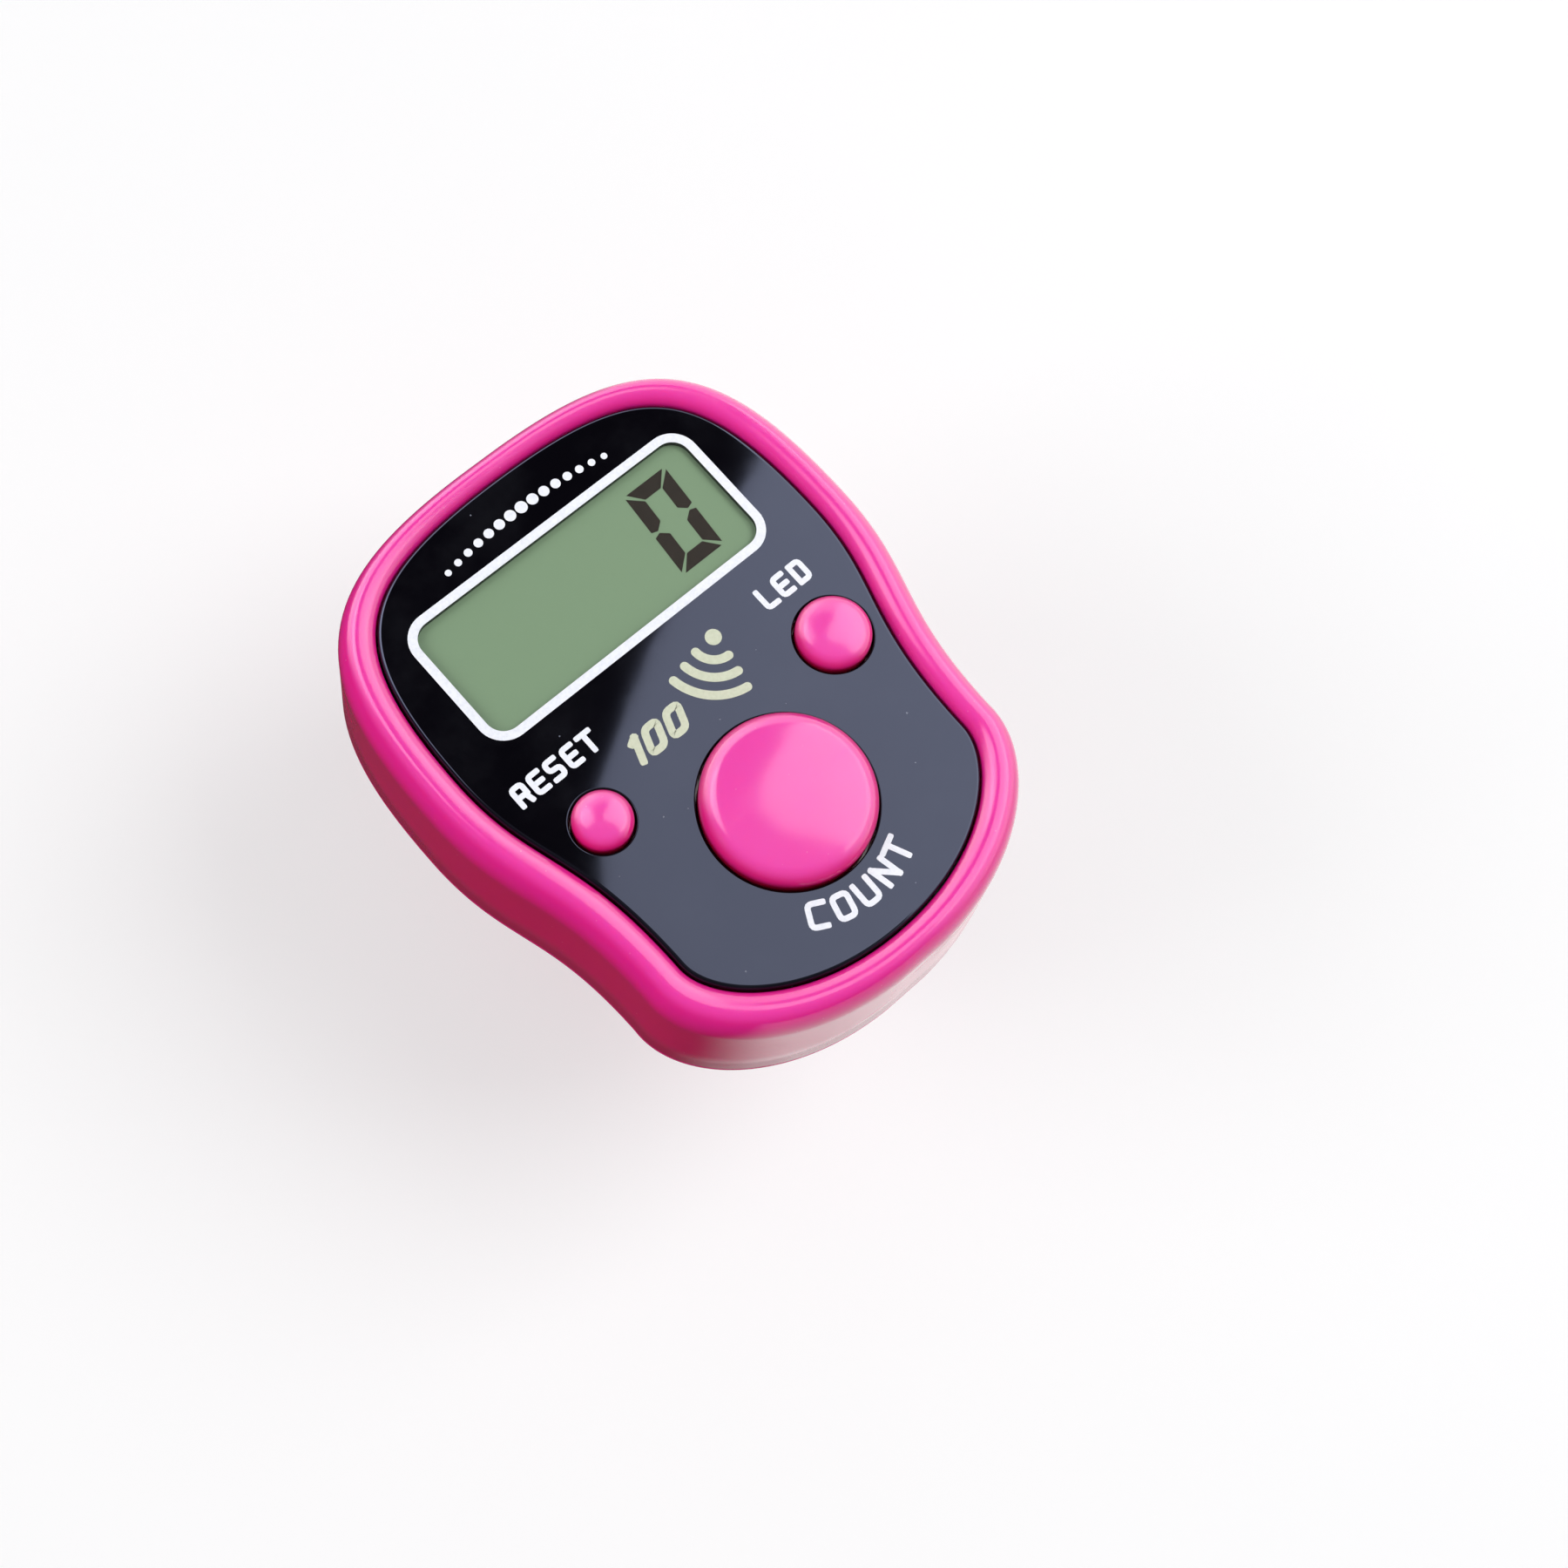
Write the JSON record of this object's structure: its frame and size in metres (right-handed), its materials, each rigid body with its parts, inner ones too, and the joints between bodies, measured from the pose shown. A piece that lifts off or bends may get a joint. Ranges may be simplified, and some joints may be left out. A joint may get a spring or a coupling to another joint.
{
  "type": "finger tally counter",
  "caption": "Finger-worn electronic tally counter: waisted glossy casing, black face with a display window, press buttons and a soft strap that rings the finger.",
  "frame": {"origin": "on the surface that the strap's flat foot stands on, under the middle of the casing", "axes": "+X along the display from its left to its right, +Y from the count button towards the display, +Z out of the face"},
  "size_m": [0.0356, 0.0438, 0.0342],
  "materials": {
    "pink_plastic": "glossy moulded plastic",
    "black_acrylic": "polished black acrylic plate",
    "window_clear": "clear acrylic pane",
    "lcd_glass": "thin display glass",
    "lcd_film": "grey-green reflecting film",
    "white_plastic": "white moulded plastic",
    "contact_rubber": "striped conductive rubber",
    "board_green": "green solder mask",
    "black_resin": "black epoxy",
    "ceramic": "fired ceramic",
    "red_sleeve": "red wire sleeve",
    "steel": "plated steel",
    "brass": "spring brass",
    "strap_rubber": "matt silicone, pink as the casing"
  },
  "bodies": {
    "casing": {"upper_casing": "pink_plastic", "face_panel": "black_acrylic", "window_lens": "window_clear", "lcd_front_glass": "lcd_glass", "lcd_rear_glass": "lcd_glass", "lcd_reflector": "lcd_film", "lcd_support_frame": "white_plastic", "lcd_contact_strip": "contact_rubber", "count_dome": "steel", "led_dome": "steel", "reset_dome": "steel", "circuit_board": "board_green", "chip_blob": "black_resin", "resistor_left": "black_resin", "resistor_right": "black_resin", "capacitor": "ceramic", "display_lamp_left": "white_plastic", "display_lamp_right": "white_plastic", "battery_left": "steel", "battery_right": "steel", "battery_contact_left": "brass", "battery_contact_right": "brass", "battery_link_plate": "brass", "sounder_plate": "brass", "sounder_ceramic": "ceramic", "sounder_wire_red": "red_sleeve", "sounder_wire_black": "black_resin", "back_cover": "pink_plastic", "battery_door": "pink_plastic", "battery_door_screw": "steel", "case_screw_1": "steel", "case_screw_2": "steel", "case_screw_3": "steel", "case_screw_4": "steel", "strap": "strap_rubber"},
    "count_button": {"count_button": "pink_plastic"},
    "led_button": {"led_button": "pink_plastic"},
    "reset_button": {"reset_button": "pink_plastic"}
  },
  "joints": [
    {"name": "count_press", "type": "slide", "parent": "casing", "child": "count_button", "axis": [0, 0, -1], "range_m": [0, 0.0005], "stiffness_N_per_m": 3000, "deforming": ["count_dome"]},
    {"name": "led_press", "type": "slide", "parent": "casing", "child": "led_button", "axis": [0, 0, -1], "range_m": [0, 0.0005], "stiffness_N_per_m": 2500, "deforming": ["led_dome"]},
    {"name": "reset_press", "type": "slide", "parent": "casing", "child": "reset_button", "axis": [0, 0, -1], "range_m": [0, 0.0005], "stiffness_N_per_m": 2500, "deforming": ["reset_dome"]}
  ]
}
